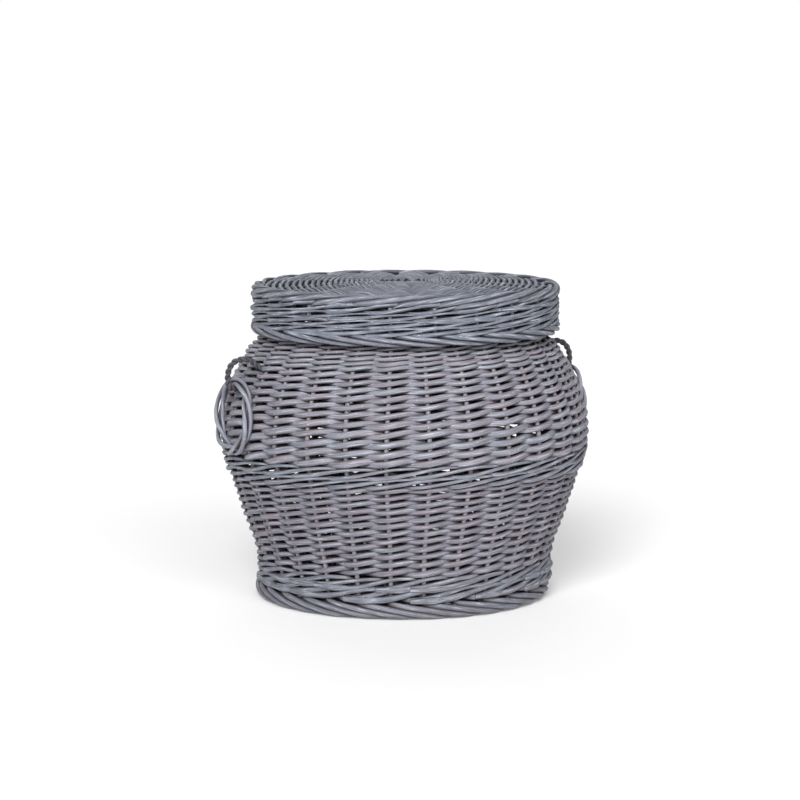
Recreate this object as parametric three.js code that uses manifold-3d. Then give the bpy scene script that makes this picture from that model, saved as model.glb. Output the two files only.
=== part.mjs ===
// Lidded laundry basket of woven rods: a bellied basket, a lift-off lid and two hanging ring handles.
// Millimetres, +Z up. The origin is on the floor at the middle of the foot, and the handles lie on X.
import * as THREE from 'three';
import { mergeVertices } from 'three/addons/utils/BufferGeometryUtils.js';
import Module from 'manifold-3d';

const wasm = await Module();
wasm.setup();

// Radii of the basket's wall, all to its outside
const footRadius = 183.5;
const bellyRadius = 231.5;
const collarRadius = 172;
const wallThickness = 18;
const footWidth = 19;
const waistProud = 5;
const mouthProud = 2.5;

// Heights of the woven zones, from the floor up
const footHeight = 20;
const upsettHeight = 30;
const lowerSidingHeight = 115;
const waistHeight = 21;
const upperSidingHeight = 117;
const shoulderSidingHeight = 49;
const mouthHeight = 16.4;
const bellyAboveWaist = 19;
const collarHeight = 34;

// Stakes of the wall and sticks of the base
const stakeCount = 28;
const stakeRadius = 3.2;
const stakeSocket = 12;
const baseStickRadius = 4;
const baseThickness = 18;
const baseRaise = 10;
const baseSplitSticks = 3;
const baseThroughSticks = 2;
const stickInset = 4;

// Lid, which covers the collar like a cap
const lidPlay = 3;
const lidWall = 17;
const lidThickness = 17;
const lidRimHeight = 14;
const lidRimRise = 4;
const lidSidingHeight = 31;
const lidBorderHeight = 15;
const lidRibRadius = 3.3;
const lidSplitRibs = 6;
const lidThroughRibs = 5;

// Ring handles and the rope loops that they hang in
const ringRadius = 43;
const ringRodRadius = 5.8;
const ringStandOff = 16.5;
const ringRest = 1;
const hingeAboveWaist = 94;
const ropeRadius = 3.5;
const loopPlay = 0.9;
const loopFit = 0.36;
const loopRise = 26;
const loopSpread = 14;

// Fits and facets
const clearance = 0.3;
const rodFlats = 4;
const ringSides = 8;
const ringSteps = 24;
const loopSides = 6;
const loopSteps = 26;
const flatness = 0.01;

// Heights that follow from the zones
const footTop = footHeight;
const upsettTop = footTop + upsettHeight;
const lowerSidingTop = upsettTop + lowerSidingHeight;
const waistTop = lowerSidingTop + waistHeight;
const upperSidingTop = waistTop + upperSidingHeight;
const shoulderSidingTop = upperSidingTop + shoulderSidingHeight;
const mouthTop = shoulderSidingTop + mouthHeight;
const bellyZ = waistTop + bellyAboveWaist;
const shoulderTop = mouthTop - collarHeight;
const hingeZ = waistTop + hingeAboveWaist;

function matte(color, roughness) {
  return new THREE.MeshStandardMaterial({ color, roughness, metalness: 0, flatShading: true });
}

const willow = matte(0x8b8d98, 0.75);
const thickWillow = matte(0x999ca8, 0.7);
const stakeWood = matte(0x8a7a80, 0.8);
const darkRope = matte(0x4a4a55, 0.9);

const basket = new THREE.Group();
const lid = new THREE.Group();

// A closed solid that can be joined and cut
function solid(geometry) {
  const plain = geometry.clone();
  plain.deleteAttribute('normal');
  plain.deleteAttribute('uv');
  const merged = mergeVertices(plain);
  const vertProperties = new Float32Array(merged.attributes.position.array);
  const triVerts = new Uint32Array(merged.index.array);
  return new wasm.Manifold(new wasm.Mesh({ numProp: 3, vertProperties, triVerts }));
}

function geometryOf(shape) {
  const { vertProperties, triVerts } = shape.getMesh();
  const geometry = new THREE.BufferGeometry();
  geometry.setAttribute('position', new THREE.BufferAttribute(vertProperties, 3));
  geometry.setIndex(new THREE.BufferAttribute(triVerts, 1));
  geometry.computeVertexNormals();
  return geometry;
}

// The same solid with its flat faces in as few triangles as they need
function simple(shape) {
  return shape.asOriginal().simplify(flatness);
}

function cut(shape, cutters) {
  return simple(cutters.reduce((rest, cutter) => rest.subtract(cutter), shape));
}

function piece(group, name, shape, material) {
  const mesh = new THREE.Mesh(geometryOf(shape), material);
  mesh.name = name;
  group.add(mesh);
}

function numbered(name, index) {
  return `${name}_${String(index + 1).padStart(2, '0')}`;
}

// A ring swept round +Z from a closed section of [radius, height] points. Its corners lie on the stakes.
function ringSolid(section, facets) {
  const points = section.map(([radius, height]) => new THREE.Vector2(radius, height));
  if (THREE.ShapeUtils.isClockWise(points)) points.reverse();
  points.push(points[0].clone());
  return solid(new THREE.LatheGeometry(points, facets, Math.PI / facets).rotateX(Math.PI / 2));
}

// A path through fixed stations, with the direction to one side given at each. A rod and the channel
// that is cut for it then share their bends and their flats.
class StationPath extends THREE.Curve {
  constructor(stations, sides) {
    super();
    this.stations = stations;
    this.sides = sides;
  }

  getPoint(t, target = new THREE.Vector3()) {
    const index = Math.round(t * (this.stations.length - 1));
    return target.copy(this.stations[index]);
  }

  getPointAt(u, target) {
    return this.getPoint(u, target);
  }

  computeFrenetFrames() {
    const { stations } = this;
    const steps = stations.slice(1).map((station, i) => station.clone().sub(stations[i]).normalize());
    const tangents = stations.map((station, i) => {
      const arriving = steps[Math.max(i - 1, 0)];
      const leaving = steps[Math.min(i, steps.length - 1)];
      return arriving.clone().add(leaving).normalize();
    });
    const normals = tangents.map((tangent, i) => this.sides[i].clone().cross(tangent).normalize());
    const binormals = tangents.map((tangent, i) => tangent.clone().cross(normals[i]));
    return { tangents, normals, binormals };
  }
}

// A regular section whose flats lie at the radius
function flatSection(radius, sides) {
  const corners = [];
  for (let i = 0; i < sides; i++) {
    const corner = new THREE.Vector2(radius / Math.cos(Math.PI / sides), 0);
    corners.push(corner.rotateAround(new THREE.Vector2(), ((i + 0.5) / sides) * 2 * Math.PI));
  }
  return new THREE.Shape(corners);
}

function rodSolid({ stations, sides }, radius) {
  const path = new StationPath(stations, sides);
  const options = { extrudePath: path, steps: stations.length - 1 };
  return solid(new THREE.ExtrudeGeometry(flatSection(radius, rodFlats), options));
}

// The channel for a rod: the clearance wider all round, and longer at each end
function channelSolid({ stations, sides }, radius) {
  const ends = stations.map((station) => station.clone());
  const last = ends.length - 1;
  ends[0].add(stations[0].clone().sub(stations[1]).setLength(clearance));
  ends[last].add(stations[last].clone().sub(stations[last - 1]).setLength(clearance));
  return rodSolid({ stations: ends, sides }, radius + clearance);
}

// Rope closed on itself: a round section carried along a closed curve
function closedTube(curve, radius, sides, steps) {
  const { normals, binormals } = curve.computeFrenetFrames(steps, true);
  const positions = [];
  const faces = [];
  for (let i = 0; i < steps; i++) {
    const centre = curve.getPointAt(i / steps);
    const next = (i + 1) % steps;
    for (let j = 0; j < sides; j++) {
      const angle = (j / sides) * 2 * Math.PI;
      const point = centre.clone().addScaledVector(normals[i], radius * Math.cos(angle));
      positions.push(...point.addScaledVector(binormals[i], radius * Math.sin(angle)));
      const beside = (j + 1) % sides;
      faces.push(i * sides + j, i * sides + beside, next * sides + j);
      faces.push(i * sides + beside, next * sides + beside, next * sides + j);
    }
  }
  const tube = new THREE.BufferGeometry();
  tube.setAttribute('position', new THREE.Float32BufferAttribute(positions, 3));
  tube.setIndex(faces);
  return solid(tube);
}

// Outside line of the wall: shares of the swell, and of the height below and above the belly
const lowerShares = [[0.04, 0], [0.36, 0.31], [0.69, 0.645], [0.87, 0.815]];
const shoulderShares = [[0.965, 0.185], [0.835, 0.417], [0.615, 0.634], [0.32, 0.858], [0.13, 0.93]];

function wallOutline() {
  const { lerp } = THREE.MathUtils;
  const points = [[footRadius, 0], [footRadius, footTop]];
  for (const [swell, rise] of lowerShares) {
    points.push([lerp(footRadius, bellyRadius, swell), lerp(upsettTop, bellyZ, rise)]);
  }
  points.push([bellyRadius, bellyZ]);
  for (const [swell, rise] of shoulderShares) {
    points.push([lerp(collarRadius, bellyRadius, swell), lerp(bellyZ, shoulderTop, rise)]);
  }
  points.push([collarRadius, shoulderTop], [collarRadius, mouthTop]);
  return new THREE.SplineCurve(points.map(([radius, height]) => new THREE.Vector2(radius, height)));
}

const outlineSteps = 400;
const outline = wallOutline().getPoints(outlineSteps);

// The line that runs at a depth inside the wall, square to its outside
function lineAtDepth(depth) {
  return outline.map((point, i) => {
    const before = outline[Math.max(i - 1, 0)];
    const after = outline[Math.min(i + 1, outlineSteps)];
    const along = after.clone().sub(before).normalize();
    return new THREE.Vector2(point.x - depth * along.y, point.y + depth * along.x);
  });
}

const wallLines = new Map();

// Radius of the wall at a height, at a depth inside it
function wallRadius(z, depth = 0) {
  if (!wallLines.has(depth)) wallLines.set(depth, lineAtDepth(depth));
  const line = wallLines.get(depth);
  const index = Math.max(line.findIndex((point) => point.y >= z), 1);
  const below = line[index - 1];
  const above = line[index];
  return THREE.MathUtils.mapLinear(z, below.y, above.y, below.x, above.x);
}

// The same place beside a handle, at a distance across it
function wallBeside(z, depth, across) {
  const radius = wallRadius(z, depth);
  return new THREE.Vector3(Math.sqrt(radius * radius - across * across), across, z);
}

// Section of a woven zone that follows the wall, with a corner at each share of its height
function zoneSection(bottom, top, levels, proud = 0) {
  const outside = [];
  const inside = [];
  for (const level of levels) {
    const z = THREE.MathUtils.lerp(bottom + clearance / 2, top - clearance / 2, level);
    const swell = proud * Math.sin(Math.PI * level);
    outside.push([wallRadius(z) + swell, z]);
    inside.unshift([wallRadius(z, wallThickness), z]);
  }
  return [...outside, ...inside];
}

// Section of a rolled border, flat below and above and rounded at its corners
function borderSection(inner, outer, bottom, top) {
  const roll = Math.min(outer - inner, top - bottom) / 4;
  return [
    [inner + roll, bottom], [outer - roll, bottom], [outer, bottom + roll], [outer, top - roll],
    [outer - roll, top], [inner + roll, top], [inner, top - roll], [inner, bottom + roll],
  ];
}

// A rod that stands in the upright plane at an angle round the basket
function uprightRod(angle, line) {
  const up = new THREE.Vector3(0, 0, 1);
  const stations = line.map(([radius, z]) => new THREE.Vector3(radius, 0, z).applyAxisAngle(up, angle));
  const sides = line.map(() => new THREE.Vector3(0, 1, 0).applyAxisAngle(up, angle));
  return { stations, sides };
}

// Heights where a wall stake bends, as shares of its woven height; it is straight in both borders
const stakeBends = [0.07, 0.4, 0.6, 0.78, 0.9, 0.955];

function wallStakeLine() {
  const middle = wallThickness / 2;
  const heights = [
    footTop - stakeSocket,
    ...stakeBends.map((share) => THREE.MathUtils.lerp(footTop, shoulderSidingTop, share)),
    shoulderSidingTop + stakeSocket,
  ];
  return heights.map((z) => [wallRadius(z, middle), z]);
}

const stakeLine = wallStakeLine();
const stakeChannels = [];
for (let i = 0; i < stakeCount; i++) {
  const rod = uprightRod(((i + 0.5) / stakeCount) * 2 * Math.PI, stakeLine);
  piece(basket, numbered('body_stake', i), rodSolid(rod, stakeRadius), stakeWood);
  stakeChannels.push(channelSolid(rod, stakeRadius));
}

// Handle at +X: the ring hangs in its loop and leans on the belly. The other is turned half round Z.
const hingeX = wallRadius(hingeZ) + ringStandOff;
const loopReach = ringRodRadius + ropeRadius + loopPlay;

function ringLean() {
  const hang = 2 * ringRadius;
  return Math.asin((wallRadius(hingeZ - hang) + ringRodRadius + ringRest - hingeX) / hang);
}

function ringSolidAt(turn) {
  const torus = new THREE.TorusGeometry(ringRadius, ringRodRadius, ringSides, ringSteps);
  torus.rotateY(Math.PI / 2);
  torus.translate(0, 0, -ringRadius);
  torus.rotateY(-ringLean());
  torus.translate(hingeX, 0, hingeZ);
  return solid(torus.rotateZ(turn));
}

function loopCurve(turn) {
  const below = hingeZ - loopReach;
  const upper = hingeZ + 0.62 * loopRise;
  const inset = wallThickness + ropeRadius + 3 * clearance;
  const points = [
    new THREE.Vector3(hingeX, -ropeRadius / 2, below),
    wallBeside(below, 0, -ropeRadius),
    wallBeside(below, wallThickness / 2, -ropeRadius),
    wallBeside(below, inset, 0),
    wallBeside((below + upper) / 2, inset + ropeRadius, loopSpread / 2),
    wallBeside(upper, inset, loopSpread - ropeRadius),
    wallBeside(upper, wallThickness / 2, loopSpread),
    wallBeside(upper, 0, loopSpread),
    new THREE.Vector3(hingeX - 0.55 * loopRise, 0.74 * loopSpread, hingeZ + 0.97 * loopRise),
    new THREE.Vector3(hingeX - 0.1 * loopRise, 0.4 * loopSpread, hingeZ + loopRise),
    new THREE.Vector3(hingeX + 0.5 * loopReach, 0.12 * loopSpread, hingeZ + 0.82 * loopRise),
    new THREE.Vector3(hingeX + 0.96 * loopReach, 0, hingeZ + 0.45 * loopRise),
    new THREE.Vector3(hingeX + 1.03 * loopReach, 0, hingeZ),
    new THREE.Vector3(hingeX + 0.75 * loopReach, 0, hingeZ - 0.75 * loopReach),
  ];
  const up = new THREE.Vector3(0, 0, 1);
  return new THREE.CatmullRomCurve3(points.map((point) => point.applyAxisAngle(up, turn)), true);
}

const loopChannels = [];
for (const [side, turn] of [['right', 0], ['left', Math.PI]]) {
  const curve = loopCurve(turn);
  piece(basket, `ring_${side}`, ringSolidAt(turn), thickWillow);
  piece(basket, `loop_${side}`, closedTube(curve, ropeRadius, loopSides, loopSteps), darkRope);
  loopChannels.push(closedTube(curve, ropeRadius + loopFit, loopSides, loopSteps));
}

// Woven zones of the wall and its two borders
const upperLevels = [0, 0.16, 0.35, 0.6, 0.84, 1];
const shoulderLevels = [0, 0.18, 0.48, 0.6, 1];

function wallZone(name, section, material, channels) {
  piece(basket, name, cut(ringSolid(section, stakeCount), channels), material);
}

const footInner = footRadius - footWidth;
const mouthRadius = collarRadius + mouthProud;
const mouthInner = collarRadius - wallThickness - mouthProud;
const footSection = borderSection(footInner, footRadius, 0, footTop - clearance / 2);
const mouthSection = borderSection(mouthInner, mouthRadius, shoulderSidingTop + clearance / 2, mouthTop);
wallZone('foot_border', footSection, thickWillow, stakeChannels);
wallZone('upsett_wale', zoneSection(footTop, upsettTop, [0, 1]), thickWillow, stakeChannels);
wallZone('lower_siding', zoneSection(upsettTop, lowerSidingTop, [0, 0.5, 1]), willow, stakeChannels);
const waistSection = zoneSection(lowerSidingTop, waistTop, [0, 0.5, 1], waistProud);
const upperSection = zoneSection(waistTop, upperSidingTop, upperLevels);
const shoulderSection = zoneSection(upperSidingTop, shoulderSidingTop, shoulderLevels);
wallZone('waist_wale', waistSection, thickWillow, stakeChannels);
wallZone('upper_siding', upperSection, willow, [...stakeChannels, ...loopChannels]);
wallZone('shoulder_siding', shoulderSection, willow, stakeChannels);
wallZone('mouth_border', mouthSection, thickWillow, stakeChannels);

// Cross of sticks that starts a woven disc. Some are split at the middle, and the others pass through
// their eyes. Outside the cross all fan out at even angles, along spoke stations of [radius, height].
function slath(splitCount, throughCount, radius, spoke) {
  const pitch = Math.PI / (splitCount + throughCount);
  const spacing = 2 * radius + clearance;
  const eyeHeight = radius + clearance;
  const eyeHalf = ((throughCount - 1) / 2) * spacing + radius + clearance;
  const eyeEnd = eyeHalf + 4 * radius;
  const splitHalf = ((splitCount - 1) / 2) * spacing + radius;
  const up = new THREE.Vector3(0, 0, 1);
  const middle = spoke[0][1];

  function fannedRod(place, straightHalf, quarter) {
    const angle = place * pitch;
    const half = [{ at: [straightHalf, place * spacing, middle], side: [0, 1, 0] }];
    for (const [reach, z] of spoke) {
      const at = [reach * Math.cos(angle), reach * Math.sin(angle), z];
      half.push({ at, side: [-Math.sin(angle), Math.cos(angle), 0] });
    }
    const mirror = ([x, y, z]) => [-x, y, z];
    const mirrored = half.map(({ at, side }) => ({ at: mirror(at), side: mirror(side) }));
    const whole = [...mirrored.reverse(), ...half];
    return {
      stations: whole.map(({ at }) => new THREE.Vector3(...at).applyAxisAngle(up, quarter)),
      sides: whole.map(({ side }) => new THREE.Vector3(...side).applyAxisAngle(up, quarter)),
    };
  }

  // The stick swells round its eye and tapers back to its own width
  function withEye(stick, offset) {
    const high = eyeHeight + radius;
    const low = 0.75 * radius;
    const width = 1.8 * radius;
    const half = [[-eyeEnd, low], [-eyeHalf, high], [eyeHalf, high], [eyeEnd, low]];
    const corners = [...half, ...half.map(([x, height]) => [-x, -height])];
    const shape = new THREE.Shape(corners.map(([x, height]) => new THREE.Vector2(x, height)));
    const swell = new THREE.ExtrudeGeometry(shape, { depth: width, bevelEnabled: false });
    swell.translate(0, 0, -width / 2).rotateX(Math.PI / 2).translate(0, offset, middle);
    const eye = new THREE.BoxGeometry(2 * eyeHalf, 4 * radius, 2 * eyeHeight).translate(0, offset, middle);
    return simple(stick.add(solid(swell)).subtract(solid(eye)));
  }

  const sticks = [];
  const channels = [];
  for (let i = 0; i < splitCount + throughCount; i++) {
    const split = i < splitCount;
    const outermost = ((split ? splitCount : throughCount) - 1) / 2;
    const place = (split ? i : i - splitCount) - outermost;
    const bend = (split ? eyeEnd : splitHalf + radius) + radius * (outermost - Math.abs(place));
    const rod = fannedRod(place, bend, split ? 0 : Math.PI / 2);
    const stick = rodSolid(rod, radius);
    sticks.push(split ? withEye(stick, place * spacing) : stick);
    channels.push(channelSolid(rod, radius));
  }
  return { sticks, channels, hole: Math.hypot(eyeEnd, splitHalf) + clearance };
}

// A flat woven disc with an open middle, round its slath
function discSolid(radius, bottom, thickness, { hole, channels }, facets) {
  const top = bottom + thickness;
  return cut(ringSolid([[hole, bottom], [radius, bottom], [radius, top], [hole, top]], facets), channels);
}

// Base: a woven disc on its sticks, held at the edge inside the foot border
const baseRadius = footInner - clearance;
const baseSpoke = [[baseRadius - stickInset, baseRaise + baseThickness / 2]];
const baseSlath = slath(baseSplitSticks, baseThroughSticks, baseStickRadius, baseSpoke);
const baseDisc = discSolid(baseRadius, baseRaise, baseThickness, baseSlath, stakeCount);
piece(basket, 'base_weave', baseDisc, willow);
baseSlath.sticks.forEach((stick, i) => piece(basket, numbered('base_stick', i), stick, stakeWood));

// Lid: a woven disc, a rolled rim over its edge, a waled skirt and a lower border, all on bent ribs
const lidRibEnds = 2 * (lidSplitRibs + lidThroughRibs);
const lidFacets = 2 * lidRibEnds;
const lidInner = mouthRadius + lidPlay;
const lidRadius = lidInner + lidWall;
const lidSeatZ = mouthTop + clearance;
const discTop = lidSeatZ + lidThickness;
const rimTop = discTop + lidRimRise;
const rimBottom = rimTop - lidRimHeight;
const lidSidingBottom = rimBottom - lidSidingHeight;
const lidBorderBottom = lidSidingBottom - lidBorderHeight;
const discRadius = lidInner - lidPlay / 2;
const ribZ = lidSeatZ + lidThickness / 2;
const ribRadius = lidInner + lidWall / 2;
const ribBend = 2.5 * lidRibRadius;
const ribFoot = lidBorderBottom + lidBorderHeight / 2;
const lidSpoke = [[ribRadius - ribBend, ribZ], [ribRadius, ribZ - ribBend], [ribRadius, ribFoot]];
const lidSlath = slath(lidSplitRibs, lidThroughRibs, lidRibRadius, lidSpoke);
lidSlath.sticks.forEach((stick, i) => piece(lid, numbered('lid_rib', i), stick, stakeWood));
piece(lid, 'lid_top_weave', discSolid(discRadius, lidSeatZ, lidThickness, lidSlath, lidFacets), willow);

function lidZone(name, section, material) {
  piece(lid, name, cut(ringSolid(section, lidFacets), lidSlath.channels), material);
}

const rimStep = lidRimHeight / 4;
const rimInner = discRadius + clearance;
const rimSection = [
  [lidInner, rimBottom + clearance], [lidRadius, rimBottom + clearance],
  [lidRadius, rimBottom + 1.6 * rimStep], [lidRadius - rimStep, rimTop - rimStep],
  [lidRadius - 2.6 * rimStep, rimTop], [rimInner + rimStep, rimTop],
  [rimInner, discTop], [rimInner, lidSeatZ + rimStep], [lidInner, lidSeatZ + rimStep],
];
const lidSidingSection = [
  [lidInner, lidSidingBottom + clearance], [lidRadius, lidSidingBottom + clearance],
  [lidRadius, rimBottom], [lidInner, rimBottom],
];
lidZone('lid_rim', rimSection, thickWillow);
lidZone('lid_siding', lidSidingSection, thickWillow);
lidZone('lid_border', borderSection(lidInner, lidRadius, lidBorderBottom, lidSidingBottom), thickWillow);

const laundryBasket = new THREE.Group();
laundryBasket.add(basket, lid);

export default laundryBasket;
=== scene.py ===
# Looks of the lidded laundry basket: every rod of its weave, its ring handles and their rope loops.
# Metres, +Z up, the origin on the floor at the middle of the foot, the handles on X.
import math

import bpy
import numpy as np
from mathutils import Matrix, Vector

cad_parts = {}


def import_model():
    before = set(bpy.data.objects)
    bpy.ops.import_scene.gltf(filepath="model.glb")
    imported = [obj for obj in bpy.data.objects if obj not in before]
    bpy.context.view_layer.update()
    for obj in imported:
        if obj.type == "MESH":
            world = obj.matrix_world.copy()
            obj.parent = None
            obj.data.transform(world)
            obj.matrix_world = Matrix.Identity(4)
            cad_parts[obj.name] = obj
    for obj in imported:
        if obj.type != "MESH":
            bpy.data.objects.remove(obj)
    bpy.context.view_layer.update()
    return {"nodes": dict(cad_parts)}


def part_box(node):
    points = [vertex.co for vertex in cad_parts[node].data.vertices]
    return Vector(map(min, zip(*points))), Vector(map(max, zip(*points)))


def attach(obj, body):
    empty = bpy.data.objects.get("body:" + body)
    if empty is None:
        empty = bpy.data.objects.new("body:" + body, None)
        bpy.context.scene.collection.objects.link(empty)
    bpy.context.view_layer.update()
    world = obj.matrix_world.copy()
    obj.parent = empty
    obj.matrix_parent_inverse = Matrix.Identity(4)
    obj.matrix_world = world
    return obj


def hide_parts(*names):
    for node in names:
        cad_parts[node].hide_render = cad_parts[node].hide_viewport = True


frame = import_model()

MM = 0.001
TURN = 2 * math.pi

# Stakes and lid ribs round the axis, as in the CAD, and the base's spokes with those added between its sticks
STAKES = 28
LID_RIBS = 22
BASE_SPOKES = 20

# Radii of the rods
STAKE_RADIUS = 2.9 * MM
LID_RIB_RADIUS = 2.9 * MM
FOOT_ROD = 3.5 * MM
UPSETT_ROD = 3.2 * MM
WAIST_ROD = 2.45 * MM
MOUTH_ROD = 4.1 * MM
SKIRT_ROD = 2.0 * MM
RIM_WALE_ROD = 2.8 * MM
RIM_ROD = 3.5 * MM
LID_BORDER_ROD = 3.2 * MM
BASE_ROD = 3.0 * MM
BASE_STICK = 3.9 * MM
RING_ROD = 2.7 * MM

# Radii of the rods in the rows that change in pitch, as shares of the pitch
LOWER_FILL = 0.315
UPPER_FILL = 0.335
LID_TOP_FILL = 0.35

# Rows of the siding: how many, the first pitch against the last, and how soon the pitch changes
LOWER_ROWS = (12, 11.4, 8.9, 1.0)
UPPER_ROWS = (19, 14.6, 6.4, 0.9)

# The loose lid lies a little to one side, and the foot border to the other
LID_SHIFT = (1.8 * MM, -0.9 * MM, 0)
FOOT_SHIFT = (-1.8 * MM, 0.9 * MM, 0)

# Painted shade on rods' sides: the wash fades out between two cosines of the turn away from a rod's outside
OPEN_EDGE_SHADE = (-0.1, 0.5)
CLOSE_EDGE_SHADE = (0.1, 0.7)
LID_TOP_EDGE_SHADE = (0.3, 1.0)
RING_EDGE_SHADE = (-0.75, 0.1)
UNDERSIDE_SHADE = 0.08

# Wash on a weaver, with painted shade where it lies behind: its share there, and the places in its swing where
# it grows to full
PAIRED_WASH_AND_SHADE = (0.4, (-0.95, -0.4))
WALED_WASH_AND_SHADE = (0.05, (-0.1, 0.6))

# Meshing of the rods. The ends of a rod are narrowed to a share of its radius, over another share of it.
ROD_SIDES = 8
BORDER_SIDES = 10
STEPS_PER_STAKE = 10
BORDER_STEPS = 14
BORDER_SMOOTHING = 5
STICK_SMOOTHING = 3
STAKE_STEPS = 60
SPOKE_STEPS = 20
STICK_STEPS = (12, 24)
RIB_BEND_STEPS = 8
LID_BEND_STEPS = 24
LOOP_CURVE_STEPS = 40
END_RADIUS = 0.72
END_LENGTH = 0.35

# Each rod takes its fibre from a place of its own in this length of noise
FIBRE_SPAN = 50

random = np.random.default_rng(7)


# Meshes of many rods

def unit(vectors):
    return vectors / np.maximum(np.linalg.norm(vectors, axis=-1, keepdims=True), 1e-12)


def smoothed(path, rounds):
    """The same path with its kinks rounded and its ends kept."""
    for _ in range(rounds):
        path[1:-1] = (path[:-2] + 2 * path[1:-1] + path[2:]) / 4
    return path


def with_narrow_ends(path, radius, out):
    """The path, radii and outside of a rod, with a narrower ring past each end."""
    first = path[0] + unit(path[0] - path[1]) * radius[0] * END_LENGTH
    last = path[-1] + unit(path[-1] - path[-2]) * radius[-1] * END_LENGTH
    path = np.vstack([first, path, last])
    radius = np.concatenate([[radius[0] * END_RADIUS], radius, [radius[-1] * END_RADIUS]])
    out = np.vstack([out[0], out, out[-1]])
    return path, radius, out


def lengths_along(path):
    return np.concatenate([[0], np.cumsum(np.linalg.norm(np.diff(path, axis=0), axis=1))])


class Rods:
    """Gathers swept rods into one mesh, with the attributes that the materials read: places in the fibre of the
    rod, its tone and the share of wash on it, which is kept low also where shade is painted."""

    def __init__(self, name, edge_shade=OPEN_EDGE_SHADE):
        self.name = name
        self.edge_shade = edge_shade
        self.points = []
        self.quads = []
        self.fibres = []
        self.tones = []
        self.washes_and_shades = []

    def add(self, path, radius, out, closed=False, sides=ROD_SIDES, wash=1.0):
        """A rod along a path, with the direction that counts as outside and the share of wash at each point,
        which is low also where shade is painted.
        """
        path = np.asarray(path, float)
        radius = np.broadcast_to(np.asarray(radius, float), (len(path),))
        out = np.broadcast_to(np.asarray(out, float), path.shape)
        wash = np.broadcast_to(np.asarray(wash, float), (len(path),))
        if closed:
            tangent = np.roll(path, -1, 0) - np.roll(path, 1, 0)
        else:
            path, radius, out = with_narrow_ends(path, radius, out)
            wash = np.concatenate([wash[:1], wash, wash[-1:]])
            tangent = np.gradient(path, axis=0)
        tangent = unit(tangent)
        side = unit(np.cross(tangent, out))
        lift = np.cross(side, tangent)
        around = np.arange(sides) * TURN / sides
        spread = (lift[:, None, :] * np.cos(around)[None, :, None]
                  + side[:, None, :] * np.sin(around)[None, :, None])
        rings = path[:, None, :] + spread * radius[:, None, None]
        rows = len(path)
        self.add_quads(rows, sides, closed)
        self.points.append(rings.reshape(-1, 3))
        fibre_start = random.uniform(0, FIBRE_SPAN)
        self.fibres.append(np.stack([
            np.repeat(lengths_along(path) + fibre_start, sides),
            np.tile(np.cos(around), rows) * np.repeat(radius, sides),
            np.tile(np.sin(around), rows) * np.repeat(radius, sides),
        ], 1))
        self.tones.append(np.full(rows * sides, random.uniform(0, 1)))
        # Painted shade: the sides of a rod turned away from its outside darken toward the bare colour
        side_shade = np.interp(np.cos(around), self.edge_shade, [UNDERSIDE_SHADE, 1])
        self.washes_and_shades.append(np.repeat(wash, sides) * np.tile(side_shade, rows))

    def add_quads(self, rows, sides, closed):
        """Faces of a rod whose points come next: its sides, and its ends where it isn't closed."""
        start = sum(len(block) for block in self.points)
        steps = rows if closed else rows - 1
        here = np.arange(steps)[:, None] * sides + np.arange(sides)[None, :]
        beside = np.arange(steps)[:, None] * sides + (np.arange(sides)[None, :] + 1) % sides
        ahead = (here + sides) % (rows * sides)
        ahead_beside = (beside + sides) % (rows * sides)
        self.quads.append(np.stack([here, ahead, ahead_beside, beside], -1).reshape(-1, 4) + start)
        if not closed:
            cap = np.array([[i, i + 1, sides - i - 2, sides - i - 1] for i in range(sides // 2 - 1)])
            self.quads.append(cap + start)
            self.quads.append(cap[:, ::-1] + start + (rows - 1) * sides)

    def piece(self, body, slot_name, material, nodes, shift=(0, 0, 0)):
        """The rods as one piece that rides on a body in place of CAD nodes."""
        points = np.vstack(self.points) + (LID_SHIFT if body == "lid" else shift)
        quads = np.vstack(self.quads)
        mesh = bpy.data.meshes.new(self.name)
        mesh.vertices.add(len(points))
        mesh.vertices.foreach_set("co", points.astype(np.float32).ravel())
        mesh.loops.add(quads.size)
        mesh.loops.foreach_set("vertex_index", quads.astype(np.int32).ravel())
        mesh.polygons.add(len(quads))
        mesh.polygons.foreach_set("loop_start", np.arange(0, quads.size, 4, dtype=np.int32))
        mesh.update(calc_edges=True)
        mesh.validate()
        mesh.polygons.foreach_set("use_smooth", np.ones(len(mesh.polygons), bool))
        for name, kind, field, blocks in (
                ("fibre", "FLOAT_VECTOR", "vector", self.fibres),
                ("tone", "FLOAT", "value", self.tones),
                ("wash", "FLOAT", "value", self.washes_and_shades)):
            layer = mesh.attributes.new(name, kind, "POINT")
            layer.data.foreach_set(field, np.concatenate(blocks).astype(np.float32).ravel())
        mesh.materials.append(material)
        piece = bpy.data.objects.new(self.name, mesh)
        bpy.context.scene.collection.objects.link(piece)
        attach(piece, body)
        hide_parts(*nodes)


# Surfaces that the weave follows

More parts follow.
